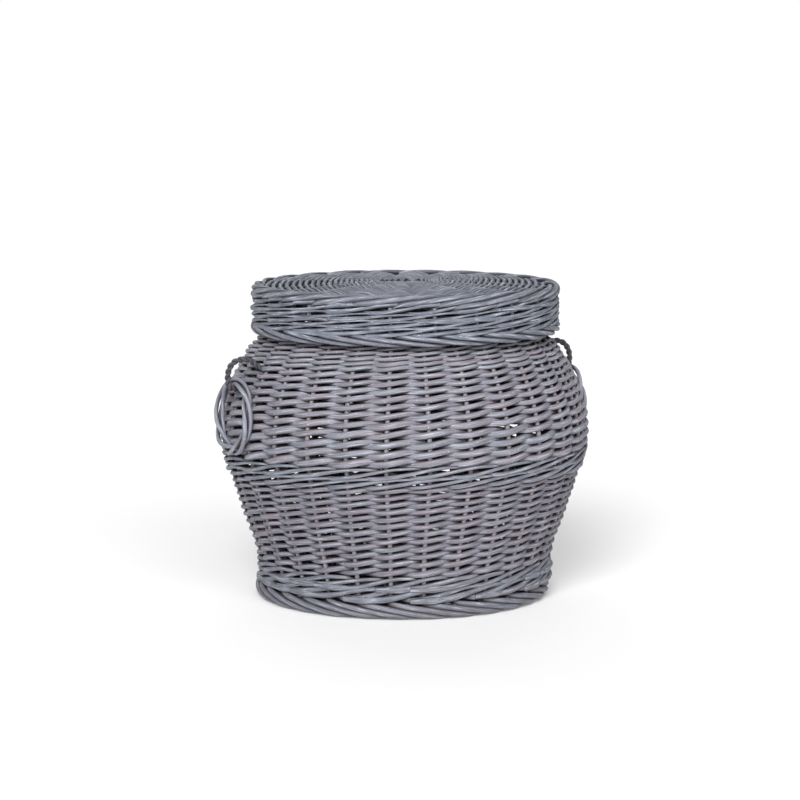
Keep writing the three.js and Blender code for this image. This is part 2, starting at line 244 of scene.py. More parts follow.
class Shell:
    """A surface round Z, given by a line of radii and heights and read by the length along that line. It
    holds a count of stakes, half a pitch away from X."""

    def __init__(self, radii, heights, stakes, stake_radius):
        self.r = np.asarray(radii, float)
        self.z = np.asarray(heights, float)
        self.stakes = stakes
        self.stake_radius = stake_radius
        steps = np.hypot(np.diff(self.r), np.diff(self.z))
        self.s = np.concatenate([[0], np.cumsum(steps)])
        along_r = np.gradient(self.r, self.s)
        along_z = np.gradient(self.z, self.s)
        size = np.hypot(along_r, along_z)
        self.normal_r = along_z / size
        self.normal_z = -along_r / size

    def sag(self, angle, s):
        """How far the rows rise or sink at an angle round Z."""
        return 0.0

    def length_at_height(self, z):
        return float(np.interp(z, self.z, self.s))

    def place(self, angle, s, depth):
        """Points at angles round Z, at lengths along the line and at depths inside the surface."""
        s = s + self.sag(angle, s)
        normal_r = np.interp(s, self.s, self.normal_r)
        normal_z = np.interp(s, self.s, self.normal_z)
        r = np.interp(s, self.s, self.r) - normal_r * depth
        z = np.interp(s, self.s, self.z) - normal_z * depth
        points = np.stack([r * np.cos(angle), r * np.sin(angle), z], -1)
        out = np.stack([normal_r * np.cos(angle), normal_r * np.sin(angle), normal_z], -1)
        return points, out


# The rows sag toward both sides of the photograph's view, and more toward its left. The sag grows from a length
# above the foot to the waist, holds for a length and ends at the shoulder's height.
SAG_START = 20 * MM
SAG_WAIST = 170 * MM
SAG_HOLD = 20 * MM
SAG_SHOULDER = 340 * MM
SAG_TURN = math.radians(-117)
SAG_TILT = 3 * MM
SAG_DIP = 5 * MM


class Wall(Shell):
    """The basket's wall, whose hand-made rows sink a little beside the handles, most at the waist."""

    def sag(self, angle, s):
        waist = self.length_at_height(SAG_WAIST)
        shoulder = self.length_at_height(SAG_SHOULDER)
        size = np.interp(s, [SAG_START, waist, waist + SAG_HOLD, shoulder], [0, 1, 1, 0])
        side = np.sin(angle - SAG_TURN)
        return size * (SAG_TILT * side - SAG_DIP * side ** 2)


CORNER_ANGLE = 0.002
CORNER_HEIGHT = 0.02 * MM
HEIGHT_DIGITS = 5
LINE_STEP = 0.5 * MM
WALL_ABOVE = 10 * MM


def node_levels(node, count):
    """Outer radius and height of a CAD zone's corners, which lie on the stakes, from the lowest up."""
    co = np.array([v.co for v in frame["nodes"][node].data.vertices], float)
    turn = np.arctan2(co[:, 1], co[:, 0]) / (TURN / count) - 0.5
    co = co[np.abs(turn - np.round(turn)) < CORNER_ANGLE]
    radius = np.hypot(co[:, 0], co[:, 1])
    heights = np.unique(np.round(co[:, 2], HEIGHT_DIGITS))
    return [(radius[np.abs(co[:, 2] - z) < CORNER_HEIGHT].max(), z) for z in heights]


def smooth_line(points):
    """A smooth line of radii and heights through the points, at an even step of height."""
    points = np.array(sorted(points, key=lambda point: point[1]))
    keep = np.concatenate([[True], np.diff(points[:, 1]) > LINE_STEP])
    radii, heights = points[keep].T
    slopes = np.gradient(radii, heights)
    z = np.arange(heights[0], heights[-1], LINE_STEP)
    i = np.clip(np.searchsorted(heights, z, side="right") - 1, 0, len(heights) - 2)
    span = heights[i + 1] - heights[i]
    t = (z - heights[i]) / span
    r = ((2 * t**3 - 3 * t**2 + 1) * radii[i] + (t**3 - 2 * t**2 + t) * span * slopes[i]
         + (3 * t**2 - 2 * t**3) * radii[i + 1] + (t**3 - t**2) * span * slopes[i + 1])
    return r, z


def wall_of_basket():
    """The wall's outside through the corners of its CAD zones, carried straight up past the mouth."""
    points = []
    for node in ("upsett_wale", "lower_siding", "upper_siding", "shoulder_siding"):
        points += node_levels(node, STAKES)
    low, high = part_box("foot_border")
    points.append((high.x, low.z))
    radii, heights = smooth_line(points)
    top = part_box("mouth_border")[1].z
    above = np.arange(heights[-1] + MM, top + WALL_ABOVE, MM)
    radii = np.concatenate([radii, np.full(len(above), radii[-1])])
    return Wall(radii, np.concatenate([heights, above]), STAKES, STAKE_RADIUS)


wall = wall_of_basket()


# Weaving. Places are counted in stakes. A weaver turns back past the stake that it lies behind, by the lag, and
# at the stake itself it has the share LAG_REACH of its swing.

LAG = 0.1
LAG_REACH = math.cos(math.pi * LAG)

# Each rod of a strand runs on past the stakes at its ends, where it is tucked under or over the next one,
# and tapers from its butt to its tip
OVERLAP = 0.4
TUCK = 0.9
BUTT = 1.1
TIP = 0.9

# A blunt end stands out in front of its stake, a little thicker, and fades into the swing of the strand
BLUNT_LENGTH = 0.7
BLUNT_FADE = 0.4
BLUNT_FRONT = 1.3
BLUNT_SWELL = 0.15

# Unevenness of hand work. A wave is its size, its turn in radians for each unit of place, and the shift that a
# seed of 1 gives it. The size is a share of a radius, a share of a pitch, or a depth. The drift is two waves.
RADIUS_SPREAD = 0.1
RADIUS_WAVE = (0.05, 2.6, 8)
LEVEL_WAVE = (0.05, 2.1, 9)
DEPTH_WAVE = (0.25 * MM, 1.7, 9)
DRIFT = ((1, 3, 1), (0.6, 7, 2.3))
WALL_DRIFT = 0.5 * MM

# How far a weaver is pressed into its stakes
SQUEEZE = 0.5 * MM

# A round's lean is found as if the wall were no flatter than this, as the radial part of its normal
FLATTEST = 0.3


def interlace(place, period, snap=1.0):
    """How far in front a weaver lies, from -1 to 1, and its rise, at places counted in stakes. It lies behind
    the stake at 0 of each period."""
    behind = np.mod(place - LAG, period)
    behind = np.minimum(behind, period - behind)
    front = -np.cos(np.pi * np.minimum(behind * snap, 1))
    p = np.mod(place, period)
    climb = np.sin(np.pi / 2 * np.clip((p - period / 2) / (period / 2 - 0.5), -1, 1))
    rise = np.where(p < 0.5, -np.sin(np.pi * p), climb)
    rise = np.where(p > period - 0.5, np.sin(np.pi * (period - p)), rise)
    return front, rise


def wave(place, shape, seed):
    size, rate, shift = shape
    return size * np.sin(rate * place + shift * seed)


def drift(angle, seed, size):
    """A slow waver round the basket, the same for rods that lie on each other."""
    return size * sum(wave(angle, shape, seed) for shape in DRIFT) / sum(shape[0] for shape in DRIFT)


def cut_places(total, period, phase, least, most):
    """Places where one rod of a strand ends and the next begins, always behind a stake."""
    places = []
    place = period - phase % period
    while place < total + period - phase % period - least:
        places.append(place)
        stakes = random.integers(least, most + 1)
        place += period * max(1, round(stakes / period))
    return places


def washed_and_shaded(front, style=PAIRED_WASH_AND_SHADE):
    """Share of the grey wash on a rod, with painted shade where it lies behind: the brush reached what lies in
    front, and little of what lies behind.
    """
    hidden, reach = style
    return np.interp(front, reach, [hidden, 1])


def weave_round(rods, shell, s, pitch, radius, middle, period, lengths=(9, 16), rise=0.25, seed=0.0,
                spill=0.0, blunt=0.0, flat=0.9, snap=1.0, taper=0.0, sink=0.0):
    """One round of weaving, at a length s along the shell, round stakes whose middle is at a depth. Each
    strand passes outside of period - 1 stakes and inside of one, and is made of rods between the two
    lengths. It climbs by rise, and hangs by sink where it lies behind, both as shares of the pitch. A flat
    round stays level as it swings out and in, and with spill it stands further out. A share blunt of the
    rods starts with a blunt end outside. With snap they swing out and in faster, and with taper each is
    thicker where it comes out."""
    swing = (shell.stake_radius + radius) / LAG_REACH - SQUEEZE
    normal_r = max(np.interp(s, shell.s, shell.normal_r), FLATTEST)
    lean = flat * float(np.interp(s, shell.s, shell.normal_z) / normal_r)
    strands = math.gcd(shell.stakes, period)
    total = shell.stakes * period // strands
    for strand in range(strands):
        starts = cut_places(total, period, strand, *lengths)
        for start, end in zip(starts, starts[1:] + [starts[0] + total]):
            steps = int((end - start + 2 * OVERLAP) * STEPS_PER_STAKE)
            x = np.linspace(start - OVERLAP, end + OVERLAP, steps + 1)
            front, climb = interlace(x + strand, period, snap)
            angle = (x + 0.5) * TURN / shell.stakes
            thicker, level_seed, depth_seed = random.uniform(-1, 1, 3)
            thick = radius * (1 + RADIUS_SPREAD * thicker) * np.linspace(BUTT, TIP, len(x)) * (1 - taper * climb)
            thick = thick * (1 + wave(x, RADIUS_WAVE, level_seed))
            tail = np.clip(np.minimum(x - start, end - x) / -OVERLAP, 0, 1)
            if random.uniform() < blunt:
                fresh = np.clip((start + BLUNT_LENGTH - x) / BLUNT_FADE, 0, 1)
                climb = np.where(x < start + 0.5, -1, climb)
                front = front + (BLUNT_FRONT - front) * fresh
                thick = thick * (1 + BLUNT_SWELL * fresh)
                tail = tail * (x > start)
            over = np.where(x > (start + end) / 2, 1, -1)
            level = s + drift(angle, seed, WALL_DRIFT) + climb * pitch * rise - lean * front * swing
            level = level + sink * pitch * (1 - np.minimum(front, 1)) / 2
            level = level + pitch * wave(x, LEVEL_WAVE, level_seed) + over * tail * radius * TUCK
            depth = middle - front * swing + tail * radius * TUCK - spill * (front > 0) * front
            depth = depth + wave(x, DEPTH_WAVE, depth_seed)
            path, out = shell.place(angle, level, depth)
            # Wash on the weaver, with painted shade where it lies behind
            rods.add(path, thick, out, wash=washed_and_shaded(front, PAIRED_WASH_AND_SHADE if period == 2 else WALED_WASH_AND_SHADE))


def pitches(total, rows):
    """Lengths along the line of evenly changing rows, and the pitch of each."""
    count, first, last, power = rows
    size = first + (last - first) * np.linspace(0, 1, count) ** power
    size = size * total / size.sum()
    return np.cumsum(size) - size / 2, size


# A border's rods come up beside their stake from inside, and roll round a slightly square core
LEAD_INWARD = 14 * MM
LEAD_CLIMB = 1.2
LEAD_SLANT = 0.3
ROLL_POWER = 0.8
BORDER_SPREAD = 0.05
BORDER_BUTT = 1.04
BORDER_TIP = 0.8
BORDER_INSIDE_SHADE = (-0.8, 0)


def roll_border(rods, core, roll, radius, count, turns, lead, down=1, hidden=0.25):
    """A border of rods that each come off a stake and roll round the border's core. The core and the roll
    are pairs of a radius and a height, and turns are pairs of a place, in stakes, and a turn in degrees.
    A rod starts a lead before its stake and ends at the last turn. Down is -1 for a border that rolls
    upward, and hidden is the share of wash inside, the rest being painted shade."""
    pitch = TURN / count
    places, degrees = zip(*turns)
    length = places[-1]
    for i in range(count):
        t = np.linspace(-lead, length, int((length + lead) * BORDER_STEPS) + 1)
        turn = np.radians(np.interp(t, places, degrees))
        # The fourth draw has no use and stays, so that the draws after it do too
        wider, further, thicker = random.uniform(-1, 1, 4)[:3]
        swell = 1 + BORDER_SPREAD * wider
        rising = np.clip(-t, 0, None)
        across = np.sign(np.cos(turn)) * np.abs(np.cos(turn)) ** ROLL_POWER
        r = core[0] + roll[0] * across * swell - LEAD_INWARD * rising
        z = core[1] + down * (roll[1] * np.sin(turn) * swell + rising * LEAD_CLIMB * pitch * core[0])
        angle = (i + 0.5 + np.where(t < 0, LEAD_SLANT * t, t)) * pitch + BORDER_SPREAD * pitch * further
        path = smoothed(np.stack([r * np.cos(angle), r * np.sin(angle), z], -1), BORDER_SMOOTHING)
        out = np.stack([np.cos(angle) * np.cos(turn), np.sin(angle) * np.cos(turn), down * np.sin(turn)], -1)
        thick = radius * (1 + BORDER_SPREAD * thicker) * np.interp(t, [0, length], [BORDER_BUTT, BORDER_TIP])
        # Painted shade on the inside of the roll, where the rods turn away from the outside
        wash = np.interp(np.cos(turn), BORDER_INSIDE_SHADE, [hidden, 1])
        rods.add(path, thick, out, sides=BORDER_SIDES, wash=wash)


# Materials. Noise has a scale along the rod, one across it, and a detail.

PATCH_NOISE = (40, 200, 2)
SPECK_NOISE = (420, 900, 2)
STREAK_ALONG = 45
STREAK_DETAIL = 4
NOISE_ROUGHNESS = 0.55
RELIEF_DEPTH = 0.4 * MM

# Where in a noise the bark, the dark, the light and the specks set in, and the specks against the light
BARK_PLACES = (0.5, 0.68)
DARK_PLACES = (0.3, 0.72)
LIGHT_PLACES = (0.55, 0.78)
SPECK_PLACES = (0.68, 0.76)
SPECK_GAIN = 1.5

# Where the roughness sets in, and its change there
ROUGH_PLACES = (0.25, 0.8)
ROUGH_CHANGES = (-0.12, 0.14)

# Sockets of a colour mix
MIX_FACTOR = 0
MIX_COLORS = (6, 7)
MIX_RESULT = 2


def link(tree, source, output, target, socket):
    tree.links.new(source.outputs[output], target.inputs[socket])


def attribute(tree, name):
    node = tree.nodes.new("ShaderNodeAttribute")
    node.attribute_name = name
    return node


def grey_ramp(tree, noise, places, values=(0, 1)):
    """A grey that goes from one value to the other between two places of the noise."""
    node = tree.nodes.new("ShaderNodeValToRGB")
    for element, place, value in zip(node.color_ramp.elements, places, values):
        element.position = place
        element.color = (value, value, value, 1)
    link(tree, noise, "Fac", node, "Fac")
    return node


def fibre_noise(tree, along, across, detail):
    """Noise stretched along each rod."""
    scale = tree.nodes.new("ShaderNodeMapping")
    scale.inputs["Scale"].default_value = (along, across, across)
    link(tree, attribute(tree, "fibre"), "Vector", scale, "Vector")
    noise = tree.nodes.new("ShaderNodeTexNoise")
    noise.inputs["Scale"].default_value = 1
    noise.inputs["Detail"].default_value = detail
    noise.inputs["Roughness"].default_value = NOISE_ROUGHNESS
    link(tree, scale, "Vector", noise, "Vector")
    return noise


def mixed(tree, factor, output, *parts):
    """A mix of two parts, each a colour or an earlier mix."""
    mix = tree.nodes.new("ShaderNodeMix")
    mix.data_type = "RGBA"
    link(tree, factor, output, mix, MIX_FACTOR)
    for socket, part in zip(MIX_COLORS, parts):
        if isinstance(part, tuple):
            mix.inputs[socket].default_value = (*part, 1)
        else:
            link(tree, part, MIX_RESULT, mix, socket)
    return mix


def willow(name, cool, warm, light, dark, roughness=0.6, streak=900, bump=0.35, bare_and_shade=(0.06, 0.045, 0.05)):
    """Grey-washed willow: streaks along the rod, patches of reddish bark and pale specks of wash. It is
    bare where the wash didn't reach, and the dark bare colour also stands as painted shade."""
    material = bpy.data.materials.new(name)
    material.use_nodes = True
    tree = material.node_tree
    tree.nodes.clear()
    output = tree.nodes.new("ShaderNodeOutputMaterial")
    shader = tree.nodes.new("ShaderNodeBsdfPrincipled")
    link(tree, shader, "BSDF", output, "Surface")

    streaks = fibre_noise(tree, STREAK_ALONG, streak, STREAK_DETAIL)
    patches = fibre_noise(tree, *PATCH_NOISE)
    specks = fibre_noise(tree, *SPECK_NOISE)

    between = tuple((c + w) / 2 for c, w in zip(cool, warm))
    pale = tuple(min(1, c * SPECK_GAIN) for c in light)
    color = mixed(tree, attribute(tree, "tone"), "Fac", cool, between)
    color = mixed(tree, grey_ramp(tree, patches, BARK_PLACES), "Color", color, warm)
    color = mixed(tree, grey_ramp(tree, streaks, DARK_PLACES), "Color", dark, color)
    color = mixed(tree, grey_ramp(tree, streaks, LIGHT_PLACES), "Color", color, light)
    color = mixed(tree, grey_ramp(tree, specks, SPECK_PLACES), "Color", color, pale)
    # Unwashed wood and painted shade: toward the dark bare colour where the wash share is low
    color = mixed(tree, attribute(tree, "wash"), "Fac", bare_and_shade, color)
    link(tree, color, MIX_RESULT, shader, "Base Color")

    rough = grey_ramp(tree, streaks, ROUGH_PLACES, [roughness + change for change in ROUGH_CHANGES])
    link(tree, rough, "Color", shader, "Roughness")
    relief = tree.nodes.new("ShaderNodeBump")
    relief.inputs["Strength"].default_value = bump
    relief.inputs["Distance"].default_value = RELIEF_DEPTH
    link(tree, streaks, "Fac", relief, "Height")
    link(tree, relief, "Normal", shader, "Normal")
    return material


THICK_STREAK = 700
# The lid's near-black bare colour, which paints the shade in the gaps between its rods
LID_BARE_AND_SHADE = (0.03, 0.032, 0.042)
WEAVE_LIGHT = (0.50, 0.54, 0.60)
weave_look = willow("willow_weave", cool=(0.285, 0.31, 0.355), warm=(0.35, 0.275, 0.32), light=WEAVE_LIGHT,
                    dark=(0.12, 0.12, 0.15))
thick_look = willow("willow_thick", cool=(0.255, 0.285, 0.33), warm=(0.29, 0.25, 0.29), light=(0.46, 0.50, 0.56),
                    dark=(0.09, 0.10, 0.13), streak=THICK_STREAK)
low_weave_look = willow("willow_low_weave", cool=(0.245, 0.265, 0.305), warm=(0.30, 0.235, 0.275),
                        light=(0.44, 0.47, 0.525), dark=(0.09, 0.09, 0.115))
low_thick_look = willow("willow_low_thick", cool=(0.225, 0.25, 0.29), warm=(0.255, 0.22, 0.255),
                        light=(0.42, 0.455, 0.51), dark=(0.08, 0.09, 0.115), streak=THICK_STREAK)
lid_look = willow("willow_lid", cool=(0.285, 0.312, 0.37), warm=(0.305, 0.28, 0.335), light=(0.53, 0.575, 0.655),
                  dark=(0.07, 0.08, 0.105), streak=THICK_STREAK, bare_and_shade=LID_BARE_AND_SHADE)
skirt_look = willow("willow_skirt", cool=(0.25, 0.275, 0.33), warm=(0.275, 0.255, 0.305),
                    light=(0.48, 0.525, 0.60), dark=(0.06, 0.07, 0.095), streak=THICK_STREAK, bare_and_shade=LID_BARE_AND_SHADE)
stake_look = willow("willow_stake", cool=(0.27, 0.265, 0.29), warm=(0.34, 0.26, 0.27), light=(0.44, 0.42, 0.45),
                    dark=(0.15, 0.135, 0.15))
ring_look = willow("cane_ring", cool=(0.27, 0.30, 0.36), warm=(0.3, 0.27, 0.31), light=WEAVE_LIGHT,
                   dark=(0.14, 0.15, 0.19), roughness=0.5)
rope_look = willow("dark_rope", cool=(0.08, 0.085, 0.105), warm=(0.09, 0.075, 0.09), light=(0.22, 0.23, 0.26),
                   dark=(0.02, 0.02, 0.03), roughness=0.8, streak=2500, bump=0.6)


# Wall of the basket

SIDING_INSET = 0.9 * MM
SEED_PER_METRE = 40
WALE_ROUNDS = 2

# Depth and radius of a stake at heights from the foot to the mouth
STAKE_LEVELS = np.array([20, 50, 165, 190, 260, 352]) * MM
STAKE_DEPTHS = np.array([9, 5.8, 5.4, 7.6, 7.2, 6.0]) * MM
STAKE_RADII = np.array([2.5, 3.0, 3.1, 3.2, 3.0, 2.6]) * MM

# Waves of a stake's angle and of its depth
STAKE_SWAY = (0.004, 30, 1)
STAKE_WAVE = (0.2 * MM, 40, 1)

# Rolls of the two borders, how far the foot's stands out, and the core inside it, dark as painted shade
FOOT_ROLL = (6.4 * MM, 7.2 * MM)
FOOT_PROUD = 3.0 * MM
FOOT_CORE_INSET = 1.5 * MM
FOOT_CORE_SLACK = 1 * MM
FOOT_CORE_SHADE = 0.1
FOOT_CORE_STEPS = 200
FOOT_TURNS = ((0, 95), (0.35, 55), (2.3, -55), (3.3, -150))
MOUTH_ROLL = 6.6 * MM
MOUTH_TURNS = ((0, 200), (3, -124))


def zone_lengths(node):
    """Lengths along the wall at a zone's bottom and top."""
    low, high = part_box(node)
    return wall.length_at_height(low.z), wall.length_at_height(high.z)


def siding_depth(radius):
    """Depth of the stakes inside the wall's outside, where the rods just reach the outside."""
    return (STAKE_RADIUS + radius) / LAG_REACH + radius - SIDING_INSET


def paired_row(rods, s, radius, pitch, **ways):
    weave_round(rods, wall, s, pitch, radius, siding_depth(radius), period=2, seed=SEED_PER_METRE * s, **ways)


def lower_siding():
    rods = Rods("lower_siding_rods")
    bottom, top = zone_lengths("lower_siding")
    rows, sizes = pitches(top - bottom, LOWER_ROWS)
    for s, pitch in zip(rows + bottom, sizes):
        paired_row(rods, s, LOWER_FILL * pitch, pitch, flat=0.4)
    rods.piece("basket", "weave", low_weave_look, ["lower_siding"])


def upper_siding():
    """Rows over the belly and in to the neck, finer and closer the higher they lie."""
    upper = Rods("upper_siding_rods")
    shoulder = Rods("shoulder_siding_rods")
    bottom, split = zone_lengths("upper_siding")
    top = zone_lengths("shoulder_siding")[1]
    rows, sizes = pitches(top - bottom, UPPER_ROWS)
    for s, pitch in zip(rows + bottom, sizes):
        paired_row(upper if s < split else shoulder, s, UPPER_FILL * pitch, pitch, sink=0.15)
    upper.piece("basket", "weave", weave_look, ["upper_siding"])
    shoulder.piece("basket", "weave", weave_look, ["shoulder_siding"])


def waled_zone(name, node, radius, look, proud=0.0, blunt=0.0, lengths=(12, 20), lift=0.0, reach=0.0):
    """Rounds of three-rod wale that stand proud of the wall. They start a lift above the zone's bottom and
    reach past its top."""
    rods = Rods(name, CLOSE_EDGE_SHADE)
    bottom, top = zone_lengths(node)
    bottom, top = bottom + lift, top + reach
    pitch = (top - bottom) / WALE_ROUNDS
    for i in range(WALE_ROUNDS):
        weave_round(rods, wall, bottom + (i + 0.5) * pitch, pitch, radius, siding_depth(radius) - proud,
                    period=3, lengths=lengths, rise=0.5, seed=5.0 + i, spill=proud / 2, blunt=blunt, snap=1.4,
                    taper=0.2)
    rods.piece("basket", "thick_rods", look, [node])


def stakes():
    bottom, top = zone_lengths("body_stake_01")
    s = np.linspace(bottom, top, STAKE_STEPS)
    z = np.interp(s, wall.s, wall.z)
    depth = np.interp(z, STAKE_LEVELS, STAKE_DEPTHS)
    thick = np.interp(z, STAKE_LEVELS, STAKE_RADII)
    for i in range(STAKES):
        rods = Rods(f"wall_stake_{i + 1:02d}")
        sway_seed, depth_seed = random.uniform(0, TURN, 2)
        angle = (i + 0.5) * TURN / STAKES + wave(s, STAKE_SWAY, sway_seed)
        path, out = wall.place(angle, s, depth + wave(s, STAKE_WAVE, depth_seed))
        rods.add(path, thick, out)
        rods.piece("basket", "stake", stake_look, [f"body_stake_{i + 1:02d}"])


def foot():
    """The foot border, over a core dark as painted shade, which closes what shows between its rods."""
    rods = Rods("foot_rods", CLOSE_EDGE_SHADE)
    low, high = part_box("foot_border")
    core = (high.x + FOOT_PROUD - FOOT_ROLL[0] - FOOT_ROD, low.z + FOOT_ROLL[1] + FOOT_ROD)
    roll_border(rods, core, FOOT_ROLL, FOOT_ROD, STAKES, FOOT_TURNS, lead=0.6)
    # The core: a near-black rod of painted shade inside the roll
    turn = np.linspace(0, TURN, FOOT_CORE_STEPS, endpoint=False)
    out = np.stack([np.cos(turn), np.sin(turn), np.zeros(FOOT_CORE_STEPS)], -1)
    middle = out * (core[0] - FOOT_CORE_INSET) + [0, 0, core[1]]
    rods.add(middle, FOOT_ROLL[1] - FOOT_CORE_SLACK, out, closed=True, wash=FOOT_CORE_SHADE)
    rods.piece("basket", "thick_rods", low_thick_look, ["foot_border"], FOOT_SHIFT)


def mouth():
    rods = Rods("mouth_rods")
    low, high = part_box("mouth_border")
    roll = (MOUTH_ROLL, (high.z - low.z) / 2 - MOUTH_ROD)
    core = (high.x - MOUTH_ROLL - MOUTH_ROD, (low.z + high.z) / 2)
    roll_border(rods, core, roll, MOUTH_ROD, STAKES, MOUTH_TURNS, lead=0.3, down=-1)
    rods.piece("basket", "thick_rods", thick_look, ["mouth_border"])


# Flat discs of weave round a cross of sticks

MIRROR = np.array([-1, 1, 1])
DISC_DRIFT = 0.4 * MM
DISC_SEED_PER_METRE = 300
DISC_RISE = 0.25
DISC_SQUEEZE = 0.2 * MM
DISC_STEP = 4 * MM

# A stick counts as a hair off upright, so that its outside is known where it turns straight down
STICK_OUT = (0.001, 0, 1)

# Crosses: split sticks, through sticks, and the radius and the spacing that the CAD gives them
BASE_CROSS = (3, 2, 4 * MM, 8.3 * MM)
LID_CROSS = (6, 5, 3.3 * MM, 6.9 * MM)

# The sticks fan out this many radii past the outermost ones that cross them
SPLIT_CLEAR = 5
THROUGH_CLEAR = 2

# Places along a stick, before and after its bend, at which its crossing of a round is looked for
CROSSING_STEPS = (50, 200)

BASE_INSET = 4 * MM
BASE_PITCH = 8.8 * MM
BASE_EYE = 36 * MM
BASE_OPENED = 80 * MM
BASE_ADDED_START = 75 * MM
BASE_ADDED_RADIUS = BASE_STICK * 0.8


def cross_sticks(cross, reach):
    """The sticks of a disc: the split ones along X and the through ones along Y run side by side over the
    middle, and fan out to even angles. For each, its quarter turn and the places of its bend and its end."""
    split, through, radius, spacing = cross
    pitch = math.pi / (split + through)
    split_bend = (through - 1) / 2 * spacing + SPLIT_CLEAR * radius
    through_bend = (split - 1) / 2 * spacing + THROUGH_CLEAR * radius
    sticks = []
    for count, bend, quarter in ((split, split_bend, 0), (through, through_bend, math.pi / 2)):
        outermost = (count - 1) / 2
        for i in range(count):
            place = i - outermost
            fan = place * pitch
            near = np.array([bend + radius * (outermost - abs(place)), place * spacing])
            far = reach * np.array([math.cos(fan), math.sin(fan)])
            sticks.append((quarter, near, far))
    return sticks


def spoke_angles(sticks, radius):
    """Angle of every stick end where it crosses a radius, in turn round Z."""
    found = []
    before, after = CROSSING_STEPS
    for quarter, near, far in sticks:
        inside = np.stack([np.linspace(0, near[0], before), np.full(before, near[1])], -1)
        line = np.vstack([inside, near + (far - near) * np.linspace(0, 1, after)[:, None]])
        x, y = line[np.argmin(np.abs(np.hypot(line[:, 0], line[:, 1]) - radius))]
        found += [(math.atan2(y, end * x) + quarter) % TURN for end in (1, -1)]
    return np.sort(np.array(found))


def disc_round(rods, spokes, radius, z, pitch, rod, stick_radius):
    """One round of pairing on a disc, round spokes at these angles."""
    count = len(spokes)
    swing = (stick_radius + rod) / LAG_REACH - DISC_SQUEEZE
    strands = math.gcd(count, 2)
    total = count * 2 // strands
    steps = max(STEPS_PER_STAKE, int(radius * TURN / count / DISC_STEP))
    for strand in range(strands):
        x = np.linspace(0, total, total * steps + 1)[:-1]
        front, climb = interlace(x + strand, 2)
        angle = np.interp(np.mod(x, count), np.arange(count + 1), np.append(spokes, spokes[0] + TURN))
        r = radius + climb * pitch * DISC_RISE + drift(angle, DISC_SEED_PER_METRE * radius, DISC_DRIFT)
        path = np.stack([r * np.cos(angle), r * np.sin(angle), z + front * swing], -1)
        # Wash on the weaver, with painted shade where it lies behind
        rods.add(path, rod, (0, 0, 1), closed=True, wash=washed_and_shaded(front))


def stick_rod(name, node, body, stick, z, radius, tail=None, dome=None):
    """One stick of a cross. Where they are given, it rises by the dome and goes on in a tail at each end."""
    quarter, near, far = stick
    bend, end = (np.array([place[0], place[1], z]) for place in (near, far))
    inner, outer = (np.linspace(0, 1, steps)[:, None] for steps in STICK_STEPS)
    middle = inner * bend + (1 - inner) * bend * MIRROR
    outward = bend + (end - bend) * outer[1:]
    if dome is not None:
        for part in (middle, outward):
            part[:, 2] += dome(np.hypot(part[:, 0], part[:, 1]))
    if tail is not None:
        outward = np.vstack([outward, tail(far)])
    path = smoothed(np.vstack([outward[::-1] * MIRROR, middle, outward]), STICK_SMOOTHING)
    turn = np.array([[math.cos(quarter), -math.sin(quarter)], [math.sin(quarter), math.cos(quarter)]])
    path[:, :2] = path[:, :2] @ turn.T
    rods = Rods(name)
    rods.add(path, radius, (0, 0, 1) if tail is None else STICK_OUT)
    rods.piece(body, "stake", thick_look, [node])


def base():
    """Rounds of weave from the eye of the cross out, and from where the spokes open, round added ones too."""
    low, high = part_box("base_weave")
    z = (low.z + high.z) / 2
    reach = high.x - BASE_INSET
    sticks = cross_sticks(BASE_CROSS, reach)
    even = np.arange(BASE_SPOKES) * TURN / BASE_SPOKES
    rods = Rods("base_weave_rods")
    radius = BASE_EYE
    while radius < high.x - BASE_ROD:
        spokes = spoke_angles(sticks, radius) if radius < BASE_OPENED else even
        disc_round(rods, spokes, radius, z, BASE_PITCH, BASE_ROD, BASE_STICK)
        radius += BASE_PITCH
    for angle in even[1::2]:
        r = np.linspace(BASE_ADDED_START, reach, SPOKE_STEPS)
        path = np.stack([r * math.cos(angle), r * math.sin(angle), np.full(SPOKE_STEPS, z)], -1)
        rods.add(path, BASE_ADDED_RADIUS, (0, 0, 1))
    rods.piece("basket", "weave", weave_look, ["base_weave"])
    for i, stick in enumerate(sticks):
        stick_rod(f"base_cross_{i + 1:02d}", f"base_stick_{i + 1:02d}", "basket", stick, z, BASE_STICK)


# Lid. Its surface is the middle of its thickness.

LID_INSET = 9.5 * MM
LID_BEND = 8.25 * MM
LID_EYE = 30 * MM
LID_EDGE_GAP = 4.5 * MM
LID_INNER_ROUND = 31 * MM
LID_INNER_PITCH = 5.2 * MM
LID_PITCH_GROWTH = 3.6 * MM
SKIRT_ROUNDS = 4
SKIRT_PITCH = 8.8 * MM
SKIRT_START = 2.6 * MM
RIM_WALE_DROP = 12.5 * MM
RIM_WALE_PITCH = 9 * MM
RIM_WALE_DEPTH = -1 * MM
RIM_ROLL = (5.2 * MM, 4.6 * MM)
RIM_PROUD = 4.2 * MM
RIM_RISE = 2.6 * MM
RIM_TURNS = ((0, 100), (0.3, 40), (1.7, -70), (2.5, -140))
LID_BORDER_ROLL = (5.4 * MM, 4.9 * MM)
LID_BORDER_INSET = 0.5 * MM
LID_BORDER_DROP = 0.6 * MM
LID_BORDER_TURNS = ((0, 110), (0.35, 55), (1.9, -60), (2.7, -160))

# Rise of the lid's top over the CAD's flat one, at its middle and where it bends down
DOME_MIDDLE = 10.5 * MM
DOME_EDGE = 3.5 * MM


